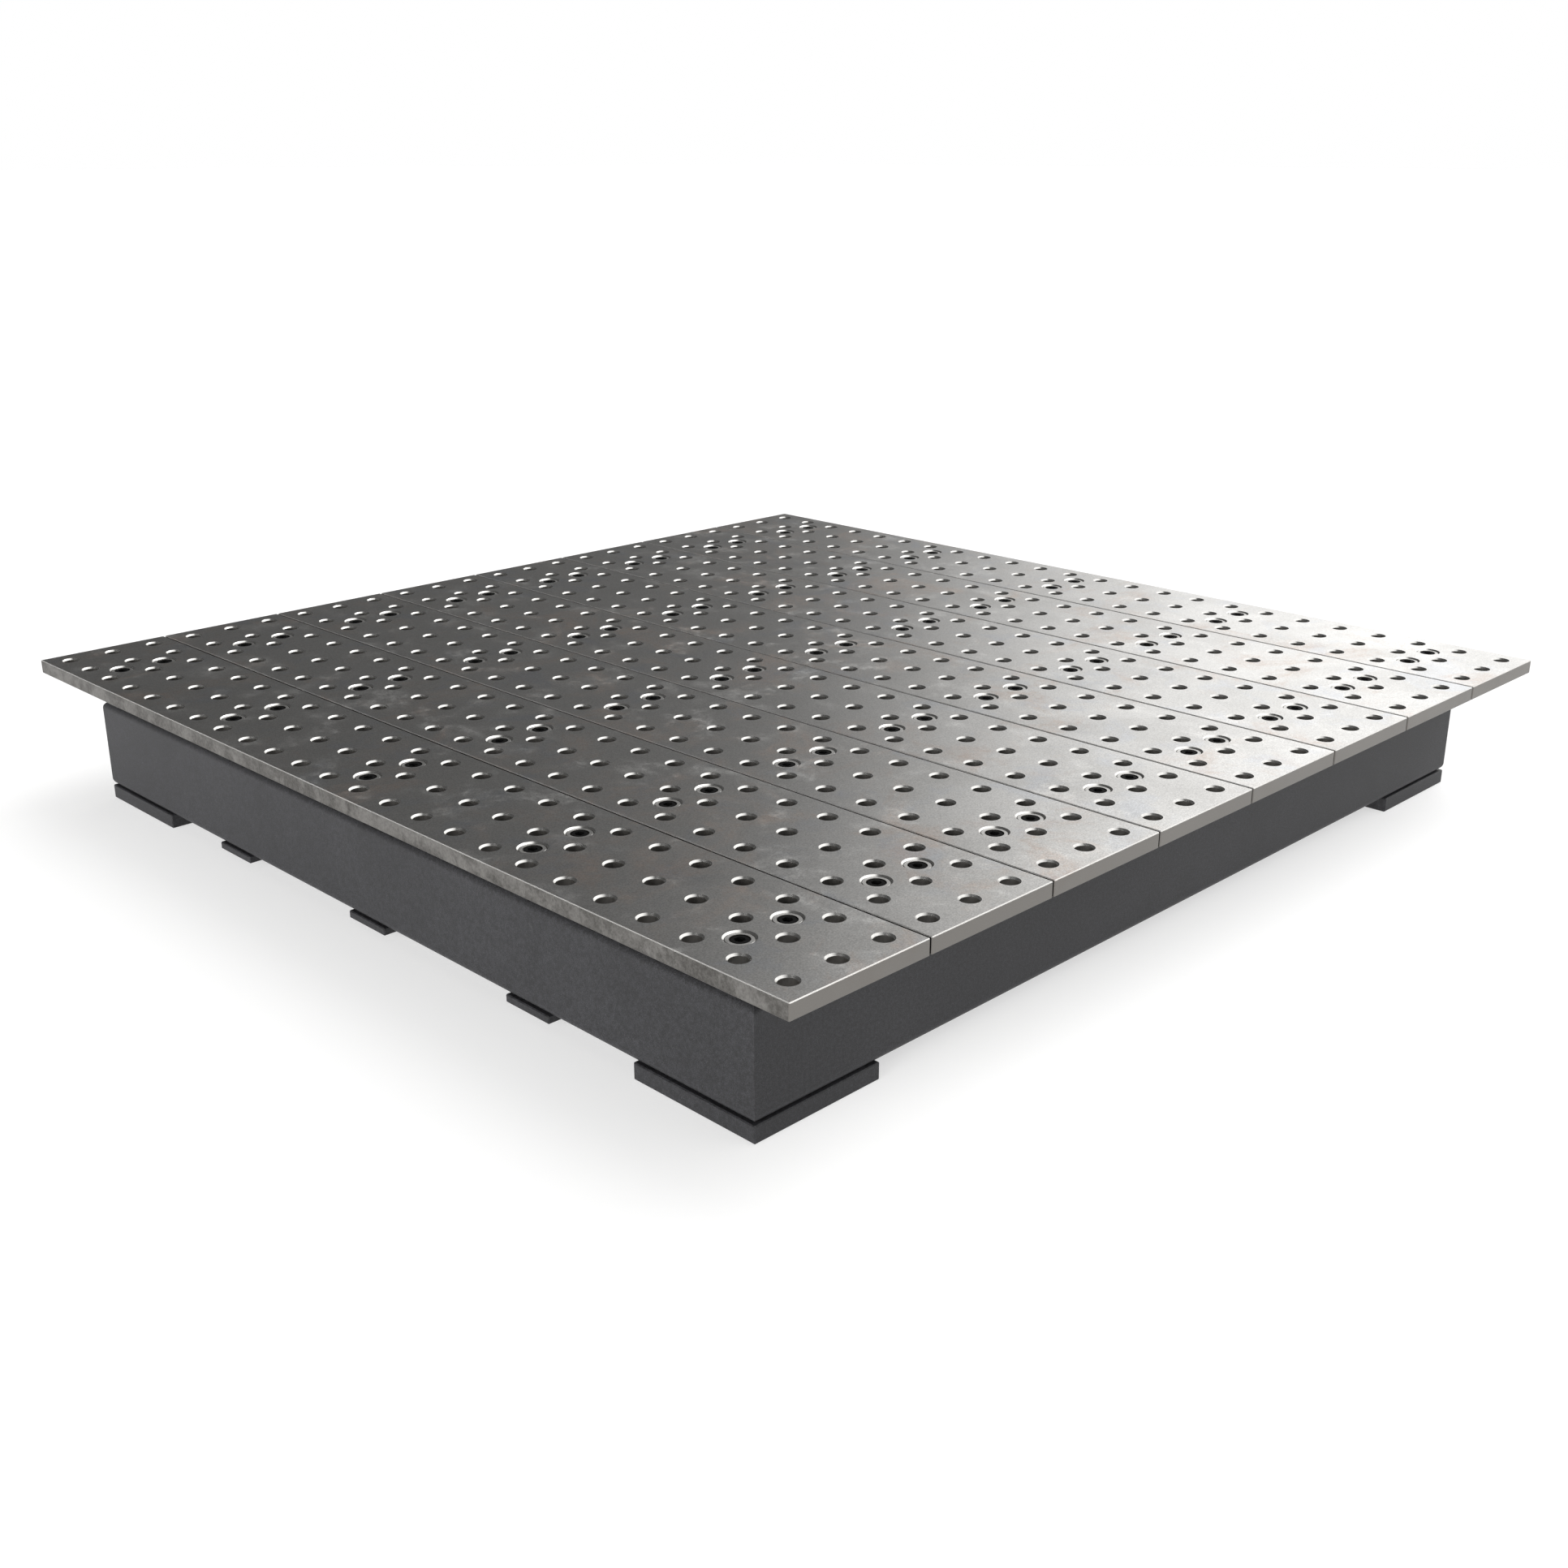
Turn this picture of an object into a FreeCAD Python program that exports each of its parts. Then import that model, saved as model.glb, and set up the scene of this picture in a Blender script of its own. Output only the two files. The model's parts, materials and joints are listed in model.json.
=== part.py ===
import FreeCAD, Part
import math
import os

from FreeCAD import Vector

# Low modular welding table. Eight drilled steel plates lie side by side on levelling bushings.
# The bushings stand on bar rails, on a mitred frame of rectangular tube, on flat pads.
# Frame of reference: origin at the middle of the footprint on the floor, +Z up,
# +X across the plates, +Y along the plates. All sizes are in millimetres.

# Top plates
PLATE_COUNT = 8
PLATE_PITCH = 150.0
PLATE_GAP = 2.0
PLATE_LENGTH = 1200.0
PLATE_THICKNESS = 15.0
PLATE_EDGE_CHAMFER = 0.8

# Fixture holes: a square grid that runs on unbroken from plate to plate
HOLE_PITCH = 50.0
HOLE_COLUMNS = 3
HOLE_ROWS = 24
HOLE_RADIUS = 8.0
HOLE_MOUTH_WIDTH = 1.4
HOLE_MOUTH_DEPTH = 1.8

# Bolt stations: two screws per plate on each of the five support rails
STATION_Y = [-500.0, -250.0, 0.0, 250.0, 500.0]
STATION_HALF_SPACING = 25.0

# Levelling bushing, threaded into the plate and standing on the rail
LEVELLING_GAP = 1.0
BUSHING_BORE_RADIUS = 12.0
BUSHING_BORE_CHAMFER = 1.5
BUSHING_THREAD_CLEARANCE = 0.05
BUSHING_SINK = 1.3
BUSHING_HEAD_POCKET_RADIUS = 8.1
BUSHING_HEAD_POCKET_DEPTH = 10.2
BUSHING_SHANK_HOLE_RADIUS = 5.5
BUSHING_OUTER_CHAMFER = 0.7
BUSHING_INNER_CHAMFER = 0.2

# Clamp screw: M10 x 25 hexagon socket head cap screw
SCREW_HEAD_RADIUS = 7.9
SCREW_HEAD_HEIGHT = 10.0
SCREW_HEAD_EDGE = 0.8
SCREW_SOCKET_FLATS = 8.0
SCREW_SOCKET_DEPTH = 5.0
SCREW_SHANK_RADIUS = 5.0
SCREW_SHANK_LENGTH = 25.0
SCREW_TIP_CHAMFER = 1.0
SCREW_THREAD_CLEARANCE = 0.05

# Support rails: solid bar across the frame, tapped for the clamp screws
RAIL_WIDTH = 20.0
RAIL_HEIGHT = 25.0

# Frame: rectangular tube, mitred at the four corners
FRAME_SIZE_X = 1130.0
FRAME_SIZE_Y = 1060.0
TUBE_WIDTH = 60.0
TUBE_HEIGHT = 100.0
TUBE_WALL = 4.0
TUBE_CORNER_RADIUS = 8.0

# Pads: flat plate, flush with the frame's outer faces
PAD_THICKNESS = 16.0
PAD_SIZE = 140.0
MIDDLE_PAD_WIDTH = 60.0
MIDDLE_PAD_THICKNESS = 8.0
PAD_EDGE_CHAMFER = 1.0

# Heights of the stack, from the floor up
TUBE_BOTTOM = PAD_THICKNESS
TUBE_TOP = TUBE_BOTTOM + TUBE_HEIGHT
RAIL_TOP = TUBE_TOP + RAIL_HEIGHT
PLATE_BOTTOM = RAIL_TOP + LEVELLING_GAP
PLATE_TOP = PLATE_BOTTOM + PLATE_THICKNESS
BUSHING_TOP = PLATE_TOP - BUSHING_SINK
SCREW_SEAT = BUSHING_TOP - BUSHING_HEAD_POCKET_DEPTH

# Plan positions
FRAME_X = FRAME_SIZE_X / 2
FRAME_Y = FRAME_SIZE_Y / 2
INNER_X = FRAME_X - TUBE_WIDTH
INNER_Y = FRAME_Y - TUBE_WIDTH
PLATE_CENTRES = [(i - (PLATE_COUNT - 1) / 2) * PLATE_PITCH for i in range(PLATE_COUNT)]
OVERSHOOT = 1.0


def revolved(profile):
    """Solid of revolution about the Z axis from (radius, height) points."""
    points = [Vector(radius, 0, height) for radius, height in profile]
    face = Part.Face(Part.makePolygon(points + points[:1]))
    return face.revolve(Vector(0, 0, 0), Vector(0, 0, 1), 360)


def placed(shape, x, y):
    """Copy of a shape that was modelled on the Z axis, moved to a plan position."""
    copy = shape.copy()
    copy.translate(Vector(x, y, 0))
    return copy


def plate_hole_cutter(radius, mouth_width, mouth_depth):
    """Cutter for a hole through a top plate, opened to a cone at both faces."""
    mouth = radius + mouth_width
    return revolved([
        (0, PLATE_BOTTOM - OVERSHOOT),
        (mouth, PLATE_BOTTOM - OVERSHOOT),
        (mouth, PLATE_BOTTOM),
        (radius, PLATE_BOTTOM + mouth_depth),
        (radius, PLATE_TOP - mouth_depth),
        (mouth, PLATE_TOP),
        (mouth, PLATE_TOP + OVERSHOOT),
        (0, PLATE_TOP + OVERSHOOT),
    ])


def station_points(plate_x):
    """The ten screw positions of the plate whose centre line is at plate_x."""
    sides = (-STATION_HALF_SPACING, STATION_HALF_SPACING)
    return [(plate_x + side, y) for y in STATION_Y for side in sides]


def fixture_points(plate_x):
    """The fixture hole positions of the plate whose centre line is at plate_x."""
    columns = [(i - (HOLE_COLUMNS - 1) / 2) * HOLE_PITCH for i in range(HOLE_COLUMNS)]
    rows = [(i - (HOLE_ROWS - 1) / 2) * HOLE_PITCH for i in range(HOLE_ROWS)]
    return [(plate_x + x, y) for x in columns for y in rows]


def chamfered_box(size, corner, chamfer):
    """Box with all its edges chamfered; corner is its lowest corner."""
    box = Part.makeBox(*size, corner)
    return box.makeChamfer(chamfer, box.Edges)


def top_plate():
    """One top plate on the Z axis, drilled for fixtures and bored for its bushings."""
    width = PLATE_PITCH - PLATE_GAP
    size = (width, PLATE_LENGTH, PLATE_THICKNESS)
    corner = Vector(-width / 2, -PLATE_LENGTH / 2, PLATE_BOTTOM)
    plate = chamfered_box(size, corner, PLATE_EDGE_CHAMFER)
    fixture = plate_hole_cutter(HOLE_RADIUS, HOLE_MOUTH_WIDTH, HOLE_MOUTH_DEPTH)
    bore = plate_hole_cutter(BUSHING_BORE_RADIUS, BUSHING_BORE_CHAMFER, BUSHING_BORE_CHAMFER)
    cutters = [placed(fixture, x, y) for x, y in fixture_points(0)]
    cutters += [placed(bore, x, y) for x, y in station_points(0)]
    return plate.cut(cutters)


def levelling_bushing():
    """Threaded sleeve with a pocket for the screw head; its foot stands on the rail."""
    outer, pocket = BUSHING_BORE_RADIUS - BUSHING_THREAD_CLEARANCE, BUSHING_HEAD_POCKET_RADIUS
    return revolved([
        (BUSHING_SHANK_HOLE_RADIUS, RAIL_TOP),
        (outer - BUSHING_OUTER_CHAMFER, RAIL_TOP),
        (outer, RAIL_TOP + BUSHING_OUTER_CHAMFER),
        (outer, BUSHING_TOP - BUSHING_OUTER_CHAMFER),
        (outer - BUSHING_OUTER_CHAMFER, BUSHING_TOP),
        (pocket + BUSHING_INNER_CHAMFER, BUSHING_TOP),
        (pocket, BUSHING_TOP - BUSHING_INNER_CHAMFER),
        (pocket, SCREW_SEAT),
        (BUSHING_SHANK_HOLE_RADIUS, SCREW_SEAT),
    ])


def clamp_screw():
    """Hexagon socket head cap screw, its thread shown as a plain shank."""
    head_top = SCREW_SEAT + SCREW_HEAD_HEIGHT
    tip = SCREW_SEAT - SCREW_SHANK_LENGTH
    screw = revolved([
        (0, tip),
        (SCREW_SHANK_RADIUS - SCREW_TIP_CHAMFER, tip),
        (SCREW_SHANK_RADIUS, tip + SCREW_TIP_CHAMFER),
        (SCREW_SHANK_RADIUS, SCREW_SEAT),
        (SCREW_HEAD_RADIUS, SCREW_SEAT),
        (SCREW_HEAD_RADIUS, head_top - SCREW_HEAD_EDGE),
        (SCREW_HEAD_RADIUS - SCREW_HEAD_EDGE, head_top),
        (0, head_top),
    ])
    corner_radius = SCREW_SOCKET_FLATS / math.sqrt(3)
    floor = head_top - SCREW_SOCKET_DEPTH
    corners = [math.radians(60 * i) for i in range(7)]
    outline = [Vector(corner_radius * math.cos(a), corner_radius * math.sin(a), floor) for a in corners]
    socket = Part.Face(Part.makePolygon(outline)).extrude(Vector(0, 0, SCREW_SOCKET_DEPTH + OVERSHOOT))
    return screw.cut(socket)


def support_rail(y):
    """Bar across the frame at one station, tapped for two screws per plate."""
    corner = Vector(-FRAME_X, y - RAIL_WIDTH / 2, TUBE_TOP)
    rail = Part.makeBox(FRAME_SIZE_X, RAIL_WIDTH, RAIL_HEIGHT, corner)
    radius = SCREW_SHANK_RADIUS + SCREW_THREAD_CLEARANCE
    tapped = Part.makeCylinder(radius, RAIL_HEIGHT + 2 * OVERSHOOT, Vector(0, 0, TUBE_TOP - OVERSHOOT))
    offsets = (-STATION_HALF_SPACING, STATION_HALF_SPACING)
    return rail.cut([placed(tapped, x + offset, y) for x in PLATE_CENTRES for offset in offsets])


def rounded_outline(width, height, radius):
    """Closed wire of a rounded rectangle in the XZ plane, centred on the Z axis at mid height."""
    box = Part.makeBox(width, 1, height, Vector(-width / 2, 0, -height / 2))
    along = [edge for edge in box.Edges if abs(edge.tangentAt(edge.FirstParameter).y) > 0.5]
    rounded = box.makeFillet(radius, along)
    front = min(rounded.Faces, key=lambda face: face.CenterOfMass.y)
    return front.OuterWire


def tube_section():
    """Hollow tube section in the XZ plane at y = 0, standing on the pads."""
    outer = Part.Face(rounded_outline(TUBE_WIDTH, TUBE_HEIGHT, TUBE_CORNER_RADIUS))
    inner_size = (TUBE_WIDTH - 2 * TUBE_WALL, TUBE_HEIGHT - 2 * TUBE_WALL)
    inner = Part.Face(rounded_outline(*inner_size, TUBE_CORNER_RADIUS - TUBE_WALL))
    section = outer.cut(inner)
    section.translate(Vector(0, 0, TUBE_BOTTOM + TUBE_HEIGHT / 2))
    return section.Faces[0]


def tube_along_y(length):
    """Tube on the Y axis, centred, with square ends."""
    section = tube_section()
    section.translate(Vector(0, -length / 2, 0))
    return section.extrude(Vector(0, length, 0))


def tube_along_x(length):
    """Tube on the X axis, centred, with square ends."""
    tube = tube_along_y(length)
    tube.rotate(Vector(0, 0, 0), Vector(0, 0, 1), -90)
    return tube


def mitred(tube, plan):
    """The part of a tube that lies within a plan outline."""
    points = [Vector(x, y, TUBE_BOTTOM - OVERSHOOT) for x, y in plan]
    face = Part.Face(Part.makePolygon(points + points[:1]))
    return tube.common(face.extrude(Vector(0, 0, TUBE_HEIGHT + 2 * OVERSHOOT)))


def side_tube(side):
    """Long tube of the frame: side is -1 for left and +1 for right."""
    tube = placed(tube_along_y(FRAME_SIZE_Y), side * (FRAME_X - TUBE_WIDTH / 2), 0)
    outer, inner = side * FRAME_X, side * INNER_X
    return mitred(tube, [(outer, -FRAME_Y), (inner, -INNER_Y), (inner, INNER_Y), (outer, FRAME_Y)])


def end_tube(side):
    """End tube of the frame: side is -1 for front and +1 for back."""
    tube = placed(tube_along_x(FRAME_SIZE_X), 0, side * (FRAME_Y - TUBE_WIDTH / 2))
    outer, inner = side * FRAME_Y, side * INNER_Y
    return mitred(tube, [(-FRAME_X, outer), (-INNER_X, inner), (INNER_X, inner), (FRAME_X, outer)])


def cross_tube(y):
    """Tube under one inner station, butted between the side tubes."""
    return placed(tube_along_x(2 * INNER_X), 0, y)


def pad(side_x, low_y, width, thickness=PAD_THICKNESS):
    """Pad flush with the left (-1) or right (+1) face of the frame, under its tubes."""
    low_x = -FRAME_X if side_x < 0 else FRAME_X - PAD_SIZE
    low = Vector(low_x, low_y, TUBE_BOTTOM - thickness)
    return chamfered_box((PAD_SIZE, width, thickness), low, PAD_EDGE_CHAMFER)


def export(name, *solids):
    """Write one node, as a single solid or as a group of separate solids."""
    shape = solids[0] if len(solids) == 1 else Part.makeCompound(list(solids))
    shape.exportStep(f"parts/{name}.step")
    print(f"{name}: {len(shape.Solids)} solids, valid {shape.isValid()}, {shape.Volume / 1000:.1f} cm3")


def export_top():
    """Top plates with their bushings and screws."""
    plate, bushing, screw = top_plate(), levelling_bushing(), clamp_screw()
    for number, x in enumerate(PLATE_CENTRES, start=1):
        export(f"top_plate_{number}", placed(plate, x, 0))
        export(f"levelling_bushings_{number}", *[placed(bushing, *point) for point in station_points(x)])
        export(f"clamp_screws_{number}", *[placed(screw, *point) for point in station_points(x)])


def export_frame():
    """Tubes, rails and pads."""
    sides = (("left", -1), ("right", 1))
    ends = (("front", -1), ("back", 1))
    for name, side in sides:
        export(f"side_tube_{name}", side_tube(side))
    for name, side in ends:
        export(f"end_tube_{name}", end_tube(side))
    for number, y in enumerate(STATION_Y[1:-1], start=1):
        export(f"cross_tube_{number}", cross_tube(y))
    for number, y in enumerate(STATION_Y, start=1):
        export(f"support_rail_{number}", support_rail(y))
    for side_name, side in sides:
        for end_name, end in ends:
            low_y = -FRAME_Y if end < 0 else FRAME_Y - PAD_SIZE
            export(f"corner_pad_{end_name}_{side_name}", pad(side, low_y, PAD_SIZE))
        for number, y in enumerate(STATION_Y[1:-1], start=1):
            shape = pad(side, y - MIDDLE_PAD_WIDTH / 2, MIDDLE_PAD_WIDTH, MIDDLE_PAD_THICKNESS)
            export(f"middle_pad_{side_name}_{number}", shape)


os.makedirs("parts", exist_ok=True)
export_top()
export_frame()
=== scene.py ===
import json
import math

import bmesh
import bpy
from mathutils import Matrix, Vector


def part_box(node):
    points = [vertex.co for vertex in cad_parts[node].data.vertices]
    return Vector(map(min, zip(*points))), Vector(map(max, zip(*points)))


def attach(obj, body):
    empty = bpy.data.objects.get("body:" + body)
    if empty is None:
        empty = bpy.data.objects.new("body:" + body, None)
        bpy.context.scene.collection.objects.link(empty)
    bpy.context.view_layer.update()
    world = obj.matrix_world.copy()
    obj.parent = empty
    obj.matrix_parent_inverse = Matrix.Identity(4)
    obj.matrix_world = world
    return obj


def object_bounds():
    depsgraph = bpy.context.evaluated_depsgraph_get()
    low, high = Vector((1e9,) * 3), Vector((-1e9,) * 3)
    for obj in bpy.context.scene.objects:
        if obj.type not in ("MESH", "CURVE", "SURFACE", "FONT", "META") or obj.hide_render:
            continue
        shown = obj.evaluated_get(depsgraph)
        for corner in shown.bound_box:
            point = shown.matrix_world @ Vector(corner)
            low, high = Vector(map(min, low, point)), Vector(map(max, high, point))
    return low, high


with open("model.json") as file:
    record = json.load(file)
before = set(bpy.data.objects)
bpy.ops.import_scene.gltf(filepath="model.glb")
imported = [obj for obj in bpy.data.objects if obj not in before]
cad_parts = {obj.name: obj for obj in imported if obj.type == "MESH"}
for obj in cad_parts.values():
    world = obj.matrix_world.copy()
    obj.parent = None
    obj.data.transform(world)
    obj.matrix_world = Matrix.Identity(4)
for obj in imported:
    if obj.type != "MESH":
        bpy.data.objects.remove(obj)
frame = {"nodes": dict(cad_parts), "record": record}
CAD_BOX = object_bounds()

# Sizes of the table's pattern, in metres, as the CAD model has them
PLATE_PITCH = 0.150
HOLE_PITCH = 0.050
STATION_PITCH = 0.250
STATION_OFFSET = 0.025
TUBE_WIDTH = 0.060
TUBE_CORNER = 0.008
GRID_START = PLATE_PITCH * 4
TABLE_HALF_X, TABLE_HALF_Y, PLATE_TOP = CAD_BOX[1]
TABLE_BOTTOM = CAD_BOX[0].z

# Where a material's mask is 0 and where it is 1. Radii from the axis of the hole or the screw:
HOLE_REACH = (0.0099, 0.0096)
BORE_REACH = (0.0140, 0.0136)
# the bushing's outer groove and the rim round the screw's head, which get painted shade:
BUSHING_GROOVE = (0.0113, 0.0117)
BUSHING_RIM = (0.0086, 0.0083)
# depths in from the table's sides and below its top, and heights near the top of the tubes:
OUTER_EDGE = (0.0015, 0.0010)
TOP_CHAMFER = (0.0007, 0.0004)
# FRAME_TOP: heights over which the frame's paint darkens, as painted shade under the plates
FRAME_TOP = (0.108, 0.118)

# Camera: the heading is measured from +Y towards +X
CAMERA_PLACE = (-1.3557, -1.3506, 0.7043)
CAMERA_HEADING = math.radians(45.04)
CAMERA_PITCH = math.radians(20.02)
CAMERA_LENS_MM = 40.07
CAMERA_SENSOR_MM = 36.0


# ---------------------------------------------------------------- node helpers

def add(tree, kind, **settings):
    """New shader node with its properties set."""
    made = tree.nodes.new(kind)
    for name, value in settings.items():
        setattr(made, name, value)
    return made


def feed(tree, socket, value):
    """Put a number, a tuple or another node's output into an input socket."""
    if isinstance(value, bpy.types.NodeSocket):
        tree.links.new(value, socket)
    else:
        socket.default_value = value


def calc(tree, operation, a, b=0.0, clamp=False):
    """Math node."""
    made = add(tree, "ShaderNodeMath", operation=operation, use_clamp=clamp)
    feed(tree, made.inputs[0], a)
    feed(tree, made.inputs[1], b)
    return made.outputs[0]


def remap(tree, value, low, high, to_low=0.0, to_high=1.0, smooth=True):
    """Clamped change of range."""
    made = add(tree, "ShaderNodeMapRange", interpolation_type="SMOOTHSTEP" if smooth else "LINEAR")
    for socket, given in zip(made.inputs[:5], (value, low, high, to_low, to_high)):
        feed(tree, socket, given)
    return made.outputs[0]


def blend_colour(tree, factor, a, b, mode="MIX"):
    """Mix of two colours."""
    made = add(tree, "ShaderNodeMix", data_type="RGBA", blend_type=mode)
    feed(tree, made.inputs["Factor"], factor)
    feed(tree, made.inputs[6], a)
    feed(tree, made.inputs[7], b)
    return made.outputs[2]


def blend_vector(tree, factor, a, b):
    """Mix of two vectors."""
    made = add(tree, "ShaderNodeMix", data_type="VECTOR")
    feed(tree, made.inputs["Factor"], factor)
    feed(tree, made.inputs[4], a)
    feed(tree, made.inputs[5], b)
    return made.outputs[1]


def noise(tree, place, scale, detail=3.0, roughness=0.5, distortion=0.0):
    """Noise between 0 and 1 at a given number of features per metre."""
    made = add(tree, "ShaderNodeTexNoise")
    feed(tree, made.inputs["Vector"], place)
    made.inputs["Scale"].default_value = scale
    made.inputs["Detail"].default_value = detail
    made.inputs["Roughness"].default_value = roughness
    made.inputs["Distortion"].default_value = distortion
    return made.outputs["Fac"]


def stretched(tree, place, factors, turn=0.0):
    """Coordinates scaled by axis after a turn about Z, for streaks."""
    made = add(tree, "ShaderNodeMapping")
    feed(tree, made.inputs["Vector"], place)
    made.inputs["Rotation"].default_value = (0.0, 0.0, turn)
    made.inputs["Scale"].default_value = factors
    return made.outputs[0]


def bump(tree, height, strength, distance, under=None):
    """Bump from a height field."""
    made = add(tree, "ShaderNodeBump")
    made.inputs["Strength"].default_value = strength
    made.inputs["Distance"].default_value = distance
    feed(tree, made.inputs["Height"], height)
    if under is not None:
        feed(tree, made.inputs["Normal"], under)
    return made.outputs[0]


def material(name):
    """Empty material: returns it with its tree and its Principled shader."""
    made = bpy.data.materials.new(name)
    made.use_nodes = True
    shader = made.node_tree.nodes["Principled BSDF"]
    return made, made.node_tree, shader


def object_place(tree):
    """Coordinates in the row frame, in metres."""
    return add(tree, "ShaderNodeTexCoord").outputs["Object"]


def split(tree, vector):
    """The three components of a vector."""
    made = add(tree, "ShaderNodeSeparateXYZ")
    feed(tree, made.inputs[0], vector)
    return made.outputs[0], made.outputs[1], made.outputs[2]


def join(tree, x, y, z):
    """A vector from three components."""
    made = add(tree, "ShaderNodeCombineXYZ")
    for socket, given in zip(made.inputs, (x, y, z)):
        feed(tree, socket, given)
    return made.outputs[0]


def centred_wave(tree, value, pitch, shift):
    """Distance from the middle of a repeating cell, signed."""
    moved = calc(tree, "ADD", value, shift)
    wrapped = calc(tree, "FLOORED_MODULO", moved, pitch)
    return calc(tree, "SUBTRACT", wrapped, pitch / 2)


def length_of(tree, x, y):
    """Length of a plane vector."""
    squares = calc(tree, "ADD", calc(tree, "MULTIPLY", x, x), calc(tree, "MULTIPLY", y, y))
    return calc(tree, "SQRT", squares)


# ---------------------------------------------------------------- materials

PAINT_COLOURS = ((0.0190, 0.0190, 0.0215, 1), (0.0238, 0.0238, 0.0268, 1))


def fixture_offset(tree, x, y):
    """Plane vector from the nearest point of the fixture hole grid."""
    return centred_wave(tree, x, HOLE_PITCH, GRID_START), centred_wave(tree, y, HOLE_PITCH, GRID_START)


def station_offset(tree, x, y):
    """Plane vector from the axis of the nearest clamp screw."""
    cell_x = centred_wave(tree, x, PLATE_PITCH, GRID_START)
    axis_x = calc(tree, "MULTIPLY", calc(tree, "SIGN", cell_x), STATION_OFFSET)
    off_y = centred_wave(tree, y, STATION_PITCH, STATION_PITCH * 2.5)
    return calc(tree, "SUBTRACT", cell_x, axis_x), off_y


def turned_normal(tree, x, y, radius, normal):
    """Normal of a surface turned about an upright axis, from the plane vector off that axis."""
    normal_x, normal_y, upright = split(tree, normal)
    outward = calc(tree, "ADD", calc(tree, "MULTIPLY", normal_x, x), calc(tree, "MULTIPLY", normal_y, y))
    rest = calc(tree, "SUBTRACT", 1.0, calc(tree, "MULTIPLY", upright, upright), clamp=True)
    flat = calc(tree, "SQRT", rest)
    reach = calc(tree, "DIVIDE", calc(tree, "MULTIPLY", calc(tree, "SIGN", outward), flat), radius)
    return join(tree, calc(tree, "MULTIPLY", x, reach), calc(tree, "MULTIPLY", y, reach), upright)


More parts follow.
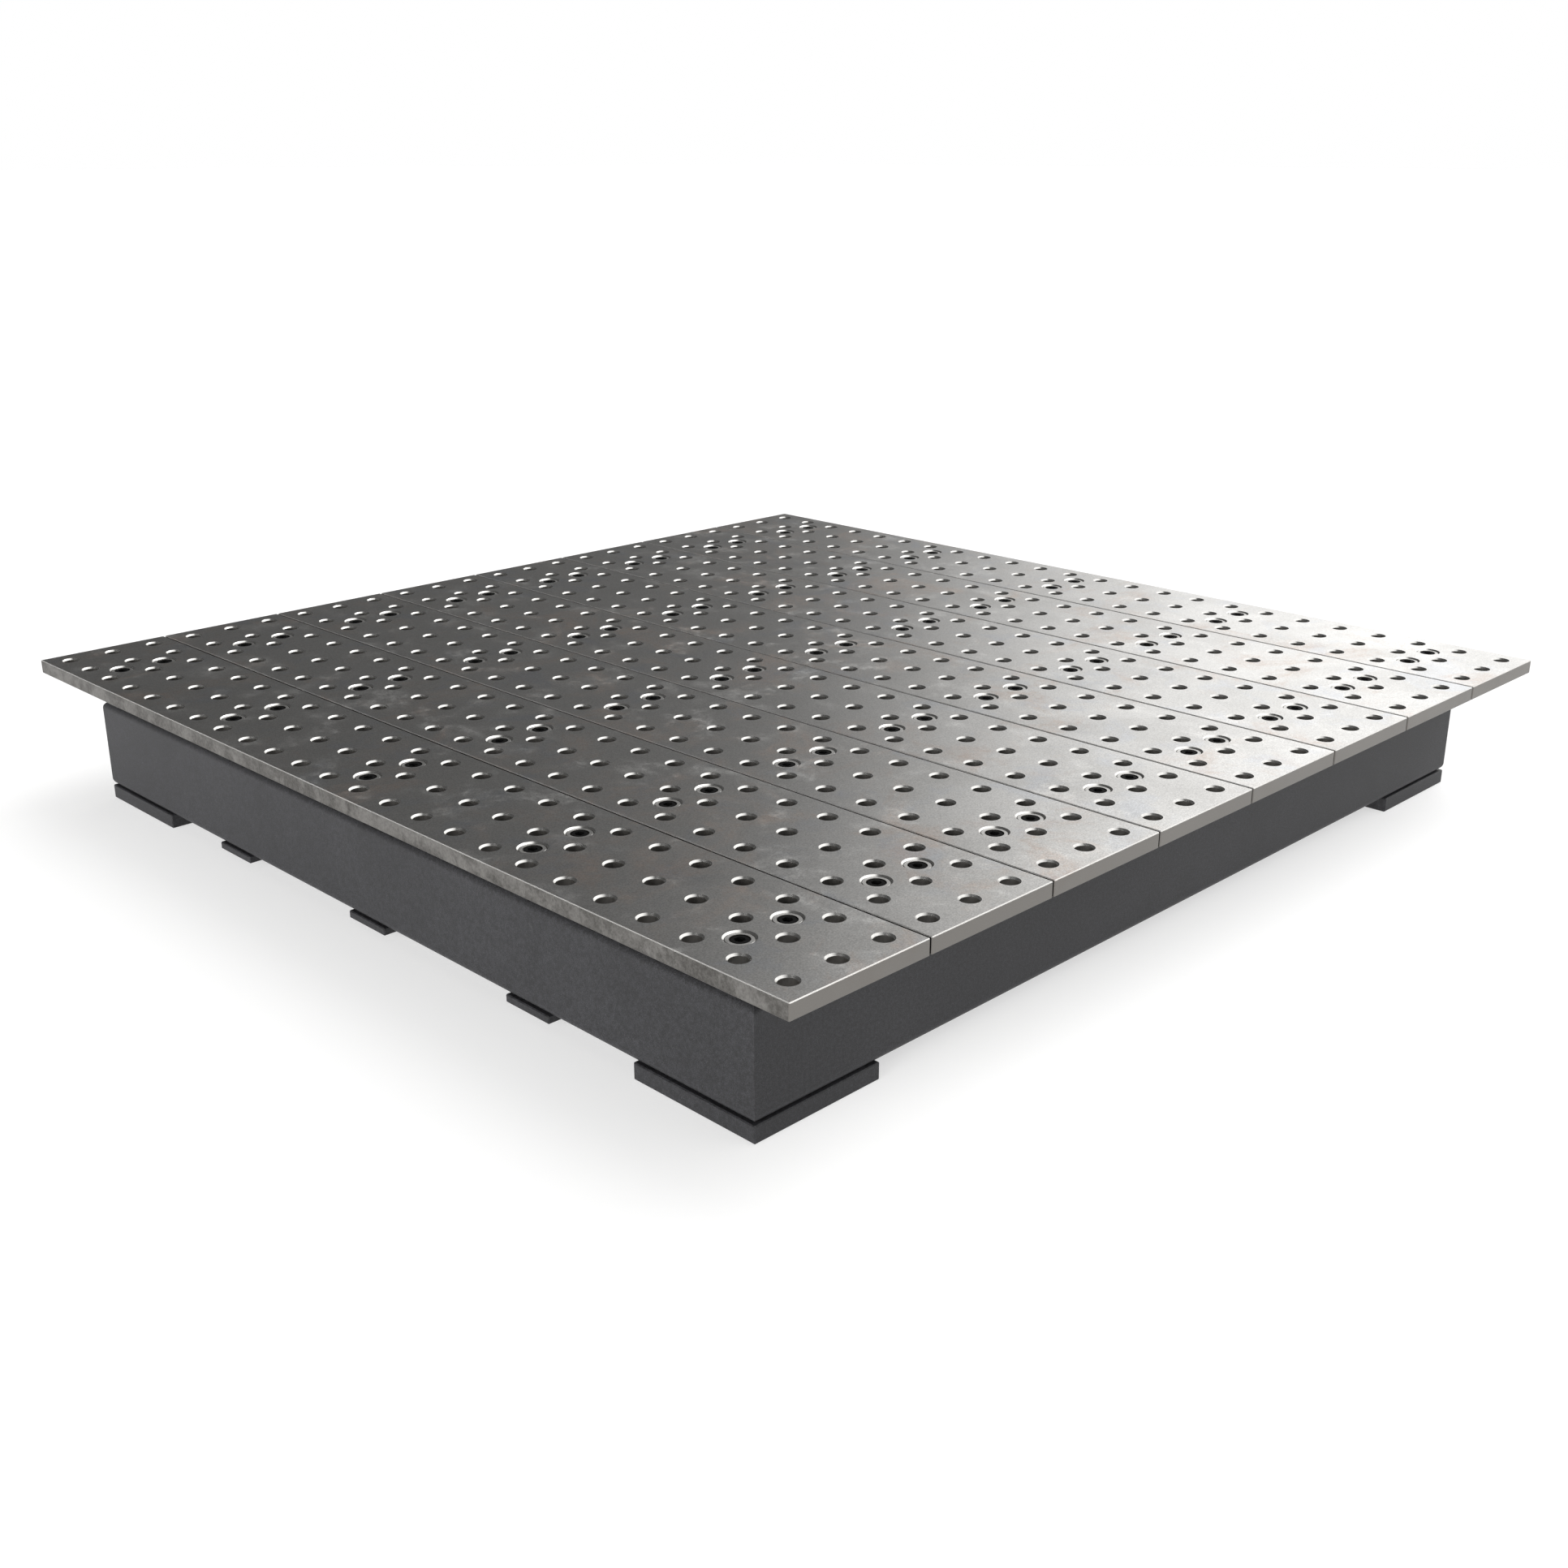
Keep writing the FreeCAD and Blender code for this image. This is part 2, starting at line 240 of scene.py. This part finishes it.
def plate_steel():
    """Bare ground steel: faint stains, fine grain, bright hole mouths, worn corners, scaly long edges, and
    painted shade in the seams and on the lower chamfers.
    """
    made, tree, shader = material("ground_steel")
    place = object_place(tree)
    x, y, z = split(tree, place)

    # Each plate has its own part of the noise, so that no stain crosses a joint
    number = calc(tree, "FLOOR", calc(tree, "DIVIDE", calc(tree, "ADD", x, GRID_START), PLATE_PITCH))
    own_place = join(
        tree,
        calc(tree, "ADD", x, calc(tree, "MULTIPLY", number, 0.37)),
        calc(tree, "ADD", y, calc(tree, "MULTIPLY", number, 1.91)),
        calc(tree, "ADD", z, calc(tree, "MULTIPLY", number, 0.63)),
    )

    # Masks: hole and bore cones and walls, the plates' sides, and their chamfers
    normal = add(tree, "ShaderNodeNewGeometry").outputs["Normal"]
    _, normal_y, normal_z = split(tree, normal)
    upright = calc(tree, "ABSOLUTE", normal_z)
    hole_x, hole_y = fixture_offset(tree, x, y)
    bore_x, bore_y = station_offset(tree, x, y)
    hole_radius = length_of(tree, hole_x, hole_y)
    bore_radius = length_of(tree, bore_x, bore_y)
    in_hole = remap(tree, hole_radius, *HOLE_REACH)
    in_bore = remap(tree, bore_radius, *BORE_REACH)
    near_hole = calc(tree, "MAXIMUM", in_hole, in_bore)
    away = calc(tree, "SUBTRACT", 1.0, near_hole)
    cone = calc(tree, "MULTIPLY", near_hole, remap(tree, upright, 0.25, 0.4))
    wall = calc(tree, "MULTIPLY", near_hole, remap(tree, upright, 0.4, 0.25))
    side = calc(tree, "MULTIPLY", away, remap(tree, upright, 0.5, 0.3))
    long_side = calc(tree, "MULTIPLY", side, remap(tree, calc(tree, "ABSOLUTE", normal_y), 0.5, 0.3))
    chamfer = calc(tree, "MULTIPLY", away, calc(tree, "MULTIPLY", remap(tree, upright, 0.4, 0.6),
                                                remap(tree, upright, 0.95, 0.85)))
    far_x = remap(tree, calc(tree, "ABSOLUTE", x), *(TABLE_HALF_X - inset for inset in OUTER_EDGE))
    far_y = remap(tree, calc(tree, "ABSOLUTE", y), *(TABLE_HALF_Y - inset for inset in OUTER_EDGE))
    outer = calc(tree, "MAXIMUM", far_x, far_y)
    # Painted shade: the plates' sides inside the seams, away from the table's outer edges
    seam_side_shade = calc(tree, "MULTIPLY", side, calc(tree, "SUBTRACT", 1.0, outer))
    upper = calc(tree, "MULTIPLY", chamfer, calc(tree, "GREATER_THAN", normal_z, 0.0))
    worn = calc(tree, "MULTIPLY", upper, remap(tree, outer, 0.0, 1.0, 0.12, 1.0))
    worn = calc(tree, "MULTIPLY", worn, remap(tree, z, *(PLATE_TOP - depth for depth in TOP_CHAMFER)))
    # Painted shade: the downward chamfers under the plates' edges
    shaded_lower_chamfer = calc(tree, "MULTIPLY", chamfer, calc(tree, "LESS_THAN", normal_z, 0.0))

    # Stains, from coarse to fine
    clouds = noise(tree, own_place, 5.0, 6.0, 0.62, 0.4)
    long_place = stretched(tree, own_place, (1.0, 0.85, 1.0), 0.3)
    smears = noise(tree, long_place, 17.0, 8.0, 0.74, 0.3)
    rust = noise(tree, own_place, 9.0, 7.0, 0.70, 0.8)
    tint = noise(tree, own_place, 14.0, 6.0, 0.65, 0.6)
    mottle = noise(tree, own_place, 120.0, 6.0, 0.75, 0.2)
    grain = noise(tree, place, 760.0, 2.0, 0.7)

    dull = remap(tree, clouds, 0.40, 0.64)
    pale_spots = remap(tree, mottle, 0.38, 0.6, 0.3, 1.0)
    pale = calc(tree, "MULTIPLY", remap(tree, smears, 0.51, 0.67), pale_spots)
    brown_spots = remap(tree, mottle, 0.35, 0.6, 0.3, 1.0)
    brown = calc(tree, "MULTIPLY", remap(tree, rust, 0.50, 0.68), brown_spots)
    bluish = remap(tree, tint, 0.52, 0.68)
    colour = blend_colour(tree, dull, (0.550, 0.545, 0.535, 1), (0.465, 0.460, 0.450, 1))
    colour = blend_colour(tree, calc(tree, "MULTIPLY", bluish, 0.35), colour, (0.42, 0.455, 0.52, 1))
    colour = blend_colour(tree, calc(tree, "MULTIPLY", pale, 0.60), colour, (0.72, 0.715, 0.70, 1))
    colour = blend_colour(tree, calc(tree, "MULTIPLY", brown, 0.46), colour, (0.43, 0.31, 0.24, 1))
    fine = remap(tree, grain, 0.3, 0.7, 0.76, 1.24, smooth=False)
    colour = blend_colour(tree, 1.0, colour, join(tree, fine, fine, fine), "MULTIPLY")

    # Scale on the long edges, then the other faces over it
    patchy = remap(tree, noise(tree, own_place, 34.0, 5.0, 0.62, 0.4), 0.40, 0.62)
    speckle = remap(tree, noise(tree, own_place, 380.0, 5.0, 0.7, 0.2), 0.36, 0.64)
    scale = calc(tree, "ADD", calc(tree, "MULTIPLY", patchy, 0.6), calc(tree, "MULTIPLY", speckle, 0.4))
    scaly = blend_colour(tree, scale, (0.082, 0.078, 0.073, 1), (0.235, 0.228, 0.217, 1))
    colour = blend_colour(tree, calc(tree, "MULTIPLY", side, 0.95), colour, (0.172, 0.163, 0.151, 1))
    colour = blend_colour(tree, calc(tree, "MULTIPLY", long_side, 0.9), colour, scaly)
    colour = blend_colour(tree, cone, colour, (0.62, 0.615, 0.60, 1))
    # Painted shade: the plates' sides in the seams are darkened, standing in for the shade between the
    # plates
    colour = blend_colour(tree, seam_side_shade, colour, (0.075, 0.070, 0.064, 1))
    colour = blend_colour(tree, worn, colour, (0.62, 0.61, 0.59, 1))
    # Painted shade: the downward chamfer is darkened, standing in for the shade it sits in under the plate's
    # edge
    colour = blend_colour(tree, shaded_lower_chamfer, colour, (0.10, 0.095, 0.09, 1))
    colour = blend_colour(tree, wall, colour, (0.080, 0.076, 0.070, 1))

    rough = remap(tree, clouds, 0.3, 0.7, 0.28, 0.33, smooth=False)
    rough = calc(tree, "ADD", rough, calc(tree, "MULTIPLY", pale, 0.07))
    rough = calc(tree, "ADD", rough, calc(tree, "MULTIPLY", brown, 0.05))
    rough = calc(tree, "SUBTRACT", rough, calc(tree, "MULTIPLY", cone, 0.06))
    unpolished = calc(tree, "MAXIMUM", wall, chamfer)
    rough = calc(tree, "ADD", rough, calc(tree, "MULTIPLY", unpolished, 0.20))
    rough = calc(tree, "ADD", rough, calc(tree, "MULTIPLY", long_side, 0.16), clamp=True)
    # Less metallic: the bore walls and worn chamfers by their oxide, and the lower chamfer as painted shade
    oxide_and_shade = calc(tree, "MAXIMUM", calc(tree, "MAXIMUM", wall, worn), shaded_lower_chamfer)
    metal = calc(tree, "SUBTRACT", 1.0, calc(tree, "MULTIPLY", oxide_and_shade, 0.5))

    # The mesh's facets don't show in the holes, because their normals come from the axis
    hole_normal = turned_normal(tree, hole_x, hole_y, hole_radius, normal)
    bore_normal = turned_normal(tree, bore_x, bore_y, bore_radius, normal)
    relief = bump(tree, calc(tree, "MULTIPLY", grain, away), 0.10, 0.0002)
    relief = blend_vector(tree, in_hole, relief, hole_normal)
    relief = blend_vector(tree, in_bore, relief, bore_normal)
    tree.links.new(colour, shader.inputs["Base Color"])
    tree.links.new(rough, shader.inputs["Roughness"])
    tree.links.new(relief, shader.inputs["Normal"])
    tree.links.new(metal, shader.inputs["Metallic"])
    return made


def bushing_steel():
    """Turned steel with faint tool marks, and painted shade in its outer groove and round the screw's head.
    """
    made, tree, shader = material("turned_zinc")
    place = object_place(tree)
    x, y, _ = split(tree, place)
    off_x, off_y = station_offset(tree, x, y)
    radius = length_of(tree, off_x, off_y)
    normal = add(tree, "ShaderNodeNewGeometry").outputs["Normal"]
    rings = calc(tree, "SINE", calc(tree, "MULTIPLY", radius, 2 * math.pi / 0.0005))
    patches = noise(tree, place, 160.0, 4.0, 0.6)
    # Painted shade: the outer groove and the rim round the screw's head are darkened, standing in for the
    # shade in these gaps
    painted_shade = calc(tree, "MAXIMUM", remap(tree, radius, *BUSHING_GROOVE), remap(tree, radius, *BUSHING_RIM))
    worn = remap(tree, patches, 0.4, 0.7)
    colour = blend_colour(tree, worn, (0.50, 0.495, 0.485, 1), (0.44, 0.435, 0.42, 1))
    colour = blend_colour(tree, painted_shade, colour, (0.05, 0.047, 0.043, 1))
    height = calc(tree, "ADD", calc(tree, "MULTIPLY", rings, 0.3), patches)
    made_round = turned_normal(tree, off_x, off_y, radius, normal)
    tree.links.new(colour, shader.inputs["Base Color"])
    tree.links.new(remap(tree, patches, 0.3, 0.7, 0.34, 0.44, smooth=False), shader.inputs["Roughness"])
    tree.links.new(bump(tree, height, 0.05, 0.0001, made_round), shader.inputs["Normal"])
    shader.inputs["Metallic"].default_value = 1.0
    return made


def screw_steel():
    """Black oxide on an alloy steel screw."""
    made, tree, shader = material("black_oxide")
    place = object_place(tree)
    patches = noise(tree, place, 240.0, 4.0, 0.6)
    colour = blend_colour(tree, patches, (0.003, 0.003, 0.003, 1), (0.009, 0.009, 0.009, 1))
    tree.links.new(colour, shader.inputs["Base Color"])
    tree.links.new(remap(tree, patches, 0.3, 0.7, 0.55, 0.70, smooth=False), shader.inputs["Roughness"])
    tree.links.new(bump(tree, noise(tree, place, 1500.0, 2.0), 0.10, 0.0001), shader.inputs["Normal"])
    shader.inputs["Metallic"].default_value = 0.0
    shader.inputs["Specular IOR Level"].default_value = 0.03
    return made


def frame_paint(name, base, shade):
    """Dark grey powder coat: speckled grain, sparse pale scuffs, and painted shade on the faces under the
    plates.
    """
    made, tree, shader = material(name)
    place = object_place(tree)
    peel = noise(tree, place, 1000.0, 2.0, 0.6)
    coarse = noise(tree, place, 300.0, 4.0, 0.65)
    dust = noise(tree, place, 7.0, 7.0, 0.68, 0.3)
    flecks = calc(tree, "MULTIPLY", remap(tree, peel, 0.35, 0.68, 0.50, 1.65, smooth=False),
                  remap(tree, coarse, 0.36, 0.64, 0.55, 1.50, smooth=False))
    colour = blend_colour(tree, remap(tree, dust, 0.38, 0.66), base, shade)
    colour = blend_colour(tree, 1.0, colour, join(tree, flecks, flecks, flecks), "MULTIPLY")
    _, _, height = split(tree, place)
    # Painted shade: the paint darkens from the tops of the tubes up, over the rails, standing in for the
    # shade under the plates
    painted_shade = remap(tree, height, *FRAME_TOP, 1.0, 0.5)
    colour = blend_colour(tree, 1.0, colour, join(tree, painted_shade, painted_shade, painted_shade), "MULTIPLY")
    scuff = remap(tree, noise(tree, place, 60.0, 5.0, 0.8), 0.66, 0.74)
    colour = blend_colour(tree, calc(tree, "MULTIPLY", scuff, 0.20), colour, (0.14, 0.14, 0.145, 1))
    tree.links.new(colour, shader.inputs["Base Color"])
    rough = calc(tree, "ADD", remap(tree, coarse, 0.3, 0.7, 0.50, 0.62, smooth=False),
                 remap(tree, painted_shade, 0.5, 1.0, 0.3, 0.0))
    tree.links.new(rough, shader.inputs["Roughness"])
    tree.links.new(bump(tree, peel, 0.30, 0.0003), shader.inputs["Normal"])
    shader.inputs["Metallic"].default_value = 0.0
    shader.inputs["Specular IOR Level"].default_value = 0.42
    return made


def floor_white():
    """Plain pale studio floor, lit from within a little so that its shadows stay faint."""
    made, _, shader = material("studio_floor")
    shader.inputs["Base Color"].default_value = (0.45, 0.45, 0.45, 1)
    shader.inputs["Roughness"].default_value = 0.9
    shader.inputs["Specular IOR Level"].default_value = 0.1
    shader.inputs["Emission Color"].default_value = (1.0, 1.0, 1.0, 1)
    shader.inputs["Emission Strength"].default_value = 0.60
    return made


# ---------------------------------------------------------------- weld beads

BEAD_STEP = 0.0008
BEAD_RIPPLE_PITCH = 0.0026
BEAD_RIPPLE_LEAN = 0.0011
BEAD_RIPPLE_DEPTH = 0.07
BEAD_SIDES = 9
BEAD_SINK = 0.0002
BEAD_LEAST_TAPER = 0.02
BEAD_FLAT = 0.78
BEAD_CROWN = 0.06
BEAD_SCALE = 1.22
TUBE_BEAD_SIZE = 0.006
TUBE_BEAD_INSET = 0.012
RAIL_BEAD_SIZE = 0.005
RAIL_BEAD_LENGTH = 0.040
RAIL_BEAD_STAGGER = 0.020
RAIL_BEAD_COUNT = 8
PAD_BEAD_SIZE = 0.0055
PAD_BEAD_START = 0.010
PAD_BEAD_END = 0.006


def weld_bead(verts, faces, start, end, side_a, side_b, size):
    """Rippled convex fillet from start to end in the corner between two directions."""
    start, end = Vector(start), Vector(end)
    along = (end - start).normalized()
    length = (end - start).length
    count = max(6, int(length / BEAD_STEP))
    side_a, side_b = Vector(side_a), Vector(side_b)
    first = len(verts)
    for i in range(count + 1):
        s = length * i / count
        taper = min(1.0, s / size, (length - s) / size)
        width = size * math.sqrt(max(BEAD_LEAST_TAPER, taper * (2 - taper)))
        for k in range(BEAD_SIDES):
            turn = math.pi / 2 * k / (BEAD_SIDES - 1)
            middle = math.sin(2 * turn)
            phase = (s + BEAD_RIPPLE_LEAN * middle) / BEAD_RIPPLE_PITCH
            ripple = 1.0 + BEAD_RIPPLE_DEPTH * abs(math.sin(math.pi * phase)) * middle
            a, b = math.cos(turn), math.sin(turn)
            shape = width * ripple * (BEAD_FLAT + BEAD_CROWN * middle) / max(a + b, 1.0) * BEAD_SCALE
            verts.append(start + along * s + side_a * (a * shape) + side_b * (b * shape))
        verts.append(start + along * s - (side_a + side_b) * BEAD_SINK)
    ring = BEAD_SIDES + 1
    for i in range(count):
        low, high = first + i * ring, first + (i + 1) * ring
        for k in range(ring):
            after = (k + 1) % ring
            faces.append((low + k, low + after, high + after, high + k))
    faces.append(tuple(first + k for k in reversed(range(ring))))
    faces.append(tuple(first + count * ring + k for k in range(ring)))


def make_mesh(name, verts, faces, shader, smooth=True):
    """Mesh object with outward normals."""
    data = bpy.data.meshes.new(name)
    data.from_pydata([tuple(v) for v in verts], [], faces)
    work = bmesh.new()
    work.from_mesh(data)
    bmesh.ops.recalc_face_normals(work, faces=work.faces)
    work.to_mesh(data)
    work.free()
    for face in data.polygons:
        face.use_smooth = smooth
    made = bpy.data.objects.new(name, data)
    bpy.context.scene.collection.objects.link(made)
    data.materials.append(shader)
    return made


def cross_tube_welds():
    """Upright beads where the cross tubes meet the side tubes."""
    verts, faces = [], []
    for number in (1, 2, 3):
        low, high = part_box(f"cross_tube_{number}")
        for x, inward in ((low.x, 1), (high.x, -1)):
            for y, outward in ((low.y, -1), (high.y, 1)):
                start = (x, y, low.z + TUBE_BEAD_INSET)
                end = (x, y, high.z - TUBE_BEAD_INSET)
                weld_bead(verts, faces, start, end, (inward, 0, 0), (0, outward, 0), TUBE_BEAD_SIZE)
    return verts, faces


def corner_welds():
    """Upright beads in the four inner corners of the mitred frame."""
    verts, faces = [], []
    inner_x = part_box("cross_tube_1")[1].x
    low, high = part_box("end_tube_front")
    for sx in (-1, 1):
        for y, sy in ((high.y, -1), (-high.y, 1)):
            start = (sx * inner_x, y, low.z + TUBE_BEAD_INSET)
            end = (sx * inner_x, y, high.z - TUBE_BEAD_INSET)
            weld_bead(verts, faces, start, end, (-sx, 0, 0), (0, -sy, 0), TUBE_BEAD_SIZE)
    return verts, faces


def rail_welds():
    """Staggered stitch beads along the feet of the support rails."""
    verts, faces = [], []
    for number in range(1, 6):
        low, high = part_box(f"support_rail_{number}")
        span = high.x - low.x - 3 * RAIL_BEAD_LENGTH
        for i in range(RAIL_BEAD_COUNT):
            x = low.x + RAIL_BEAD_LENGTH + i * span / (RAIL_BEAD_COUNT - 1)
            for y, out, shift in ((low.y, -1, 0.0), (high.y, 1, RAIL_BEAD_STAGGER)):
                start = (x + shift, y, low.z)
                end = (x + shift + RAIL_BEAD_LENGTH, y, low.z)
                weld_bead(verts, faces, start, end, (0, out, 0), (0, 0, 1), RAIL_BEAD_SIZE)
    return verts, faces


def pad_welds():
    """Beads from the corner pads to the undersides of the tubes."""
    verts, faces = [], []
    reach = TUBE_WIDTH - TUBE_CORNER
    for name in frame["nodes"]:
        if not name.startswith("corner_pad"):
            continue
        low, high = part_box(name)
        sx = 1 if low.x + high.x > 0 else -1
        sy = 1 if low.y + high.y > 0 else -1
        x_in = (high.x if sx > 0 else low.x) - sx * reach
        y_in = (high.y if sy > 0 else low.y) - sy * reach
        x_end = (low.x if sx > 0 else high.x) + sx * PAD_BEAD_END
        y_end = (low.y if sy > 0 else high.y) + sy * PAD_BEAD_END
        start = (x_in - sx * PAD_BEAD_START, y_in, high.z)
        weld_bead(verts, faces, start, (x_end, y_in, high.z), (0, -sy, 0), (0, 0, 1), PAD_BEAD_SIZE)
        start = (x_in, y_in - sy * PAD_BEAD_START, high.z)
        weld_bead(verts, faces, start, (x_in, y_end, high.z), (-sx, 0, 0), (0, 0, 1), PAD_BEAD_SIZE)
    return verts, faces


def add_welds(paint):
    """All weld beads, painted with the frame."""
    for name, maker in (
        ("cross_tube_weld_beads", cross_tube_welds),
        ("frame_corner_weld_beads", corner_welds),
        ("rail_stitch_weld_beads", rail_welds),
        ("pad_weld_beads", pad_welds),
    ):
        piece = make_mesh(name, *maker(), paint)
        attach(piece, "frame")


# ---------------------------------------------------------------- finish of the CAD nodes

def dress(finishes):
    """Give every CAD node its material, by the record's slot."""
    for entry in frame["record"]["subparts"]:
        node = frame["nodes"][entry["node"]]
        for slot in node.material_slots:
            slot.material = finishes[entry["material_slot"]]


# ---------------------------------------------------------------- studio

BASE_LEVEL = 0.09
KEY_LEVEL = 1.6
FILL_LEVEL = 7.6
SUN_LEVEL = 1.0
SUN_WIDTH = math.radians(44)
FLOOR_REACH = 60.0
FLOOR_GAP = 0.0002

# Directions as heading and elevation: the heading is measured from +Y towards +X.
# The key light is where the lobes ACROSS, ABOVE and BEFORE overlap, less a part of DIM.
SUN_DIRECTION = (math.radians(98), math.radians(58))
KEY_ACROSS = (math.radians(138), math.radians(11))
KEY_ABOVE = (math.radians(60), math.radians(45))
KEY_BEFORE = (math.radians(100), math.radians(20))
KEY_DIM = (math.radians(142), math.radians(2))
FILL_DIRECTION = (math.radians(262), math.radians(8))

# Cosines of the angles where each lobe starts and is full
KEY_ACROSS_EDGE = (0.0, 0.31)
KEY_ABOVE_EDGE = (0.0, 0.4)
KEY_BEFORE_EDGE = (-0.12, 0.12)
KEY_DIM_EDGE = (0.85, 0.96)
FILL_EDGE = (0.86, 0.97)
DIM_SHARE = 0.7


def direction(heading, elevation):
    """Unit vector: the heading is measured from +Y towards +X."""
    flat = math.cos(elevation)
    return Vector((math.sin(heading) * flat, math.cos(heading) * flat, math.sin(elevation)))


def lobe(tree, ray, towards, low, high):
    """0 to 1 over one side of the sky, with a soft edge between two cosines."""
    made = add(tree, "ShaderNodeVectorMath", operation="DOT_PRODUCT")
    tree.links.new(ray, made.inputs[0])
    made.inputs[1].default_value = direction(*towards)
    return remap(tree, made.outputs["Value"], low, high)


def make_world():
    """Dim room with a broad soft light on the right, a small one on the left, and a white backdrop."""
    world = bpy.data.worlds.new("studio")
    bpy.context.scene.world = world
    world.use_nodes = True
    tree = world.node_tree
    tree.nodes.clear()
    ray = add(tree, "ShaderNodeTexCoord").outputs["Generated"]
    key = calc(tree, "MULTIPLY", lobe(tree, ray, KEY_ACROSS, *KEY_ACROSS_EDGE),
               lobe(tree, ray, KEY_ABOVE, *KEY_ABOVE_EDGE))
    key = calc(tree, "MULTIPLY", key, lobe(tree, ray, KEY_BEFORE, *KEY_BEFORE_EDGE))
    dimmed = calc(tree, "MULTIPLY", lobe(tree, ray, KEY_DIM, *KEY_DIM_EDGE), DIM_SHARE)
    key = calc(tree, "MULTIPLY", key, calc(tree, "SUBTRACT", 1.0, dimmed))
    fill = lobe(tree, ray, FILL_DIRECTION, *FILL_EDGE)
    level = calc(tree, "ADD", BASE_LEVEL, calc(tree, "MULTIPLY", key, KEY_LEVEL))
    level = calc(tree, "ADD", level, calc(tree, "MULTIPLY", fill, FILL_LEVEL))
    room = add(tree, "ShaderNodeBackground")
    feed(tree, room.inputs["Strength"], level)
    room.inputs["Color"].default_value = (1.0, 0.995, 0.985, 1)
    backdrop = add(tree, "ShaderNodeBackground")
    backdrop.inputs["Color"].default_value = (1.0, 1.0, 1.0, 1)
    backdrop.inputs["Strength"].default_value = 1.0
    chosen = add(tree, "ShaderNodeMixShader")
    tree.links.new(add(tree, "ShaderNodeLightPath").outputs["Is Camera Ray"], chosen.inputs[0])
    tree.links.new(room.outputs[0], chosen.inputs[1])
    tree.links.new(backdrop.outputs[0], chosen.inputs[2])
    tree.links.new(chosen.outputs[0], add(tree, "ShaderNodeOutputWorld").inputs[0])


def make_sun():
    """Very soft top light that whitens the floor."""
    data = bpy.data.lights.new("top_light", "SUN")
    data.energy = SUN_LEVEL
    data.angle = SUN_WIDTH
    lamp = bpy.data.objects.new("top_light", data)
    bpy.context.scene.collection.objects.link(lamp)
    lamp.rotation_mode = "QUATERNION"
    lamp.rotation_quaternion = direction(*SUN_DIRECTION).to_track_quat("Z", "Y")


def make_floor():
    """Floor under the pads, wide enough to reach the horizon."""
    corners = [(x * FLOOR_REACH, y * FLOOR_REACH, 0) for x, y in ((-1, -1), (1, -1), (1, 1), (-1, 1))]
    floor = make_mesh("studio_floor", corners, [(0, 1, 2, 3)], floor_white(), smooth=False)
    floor.location.z = TABLE_BOTTOM - FLOOR_GAP


def make_camera():
    """Camera that looks down along the table's diagonal."""
    data = bpy.data.cameras.new("camera")
    data.lens = CAMERA_LENS_MM
    data.sensor_width = CAMERA_SENSOR_MM
    data.clip_start, data.clip_end = 0.05, 200.0
    camera = bpy.data.objects.new("camera", data)
    bpy.context.scene.collection.objects.link(camera)
    camera.location = CAMERA_PLACE
    camera.rotation_mode = "QUATERNION"
    camera.rotation_quaternion = (-direction(CAMERA_HEADING, -CAMERA_PITCH)).to_track_quat("Z", "Y")
    bpy.context.scene.camera = camera


make_camera()
paint = frame_paint("powder_coat", *PAINT_COLOURS)
dress({
    "plate_steel": plate_steel(),
    "bushing_zinc": bushing_steel(),
    "screw_black": screw_steel(),
    "frame_paint": paint,
    "pad_paint": frame_paint("pad_powder_coat", *PAINT_COLOURS),
})
add_welds(paint)
make_world()
make_sun()
make_floor()
bpy.context.scene.view_settings.view_transform = "Standard"
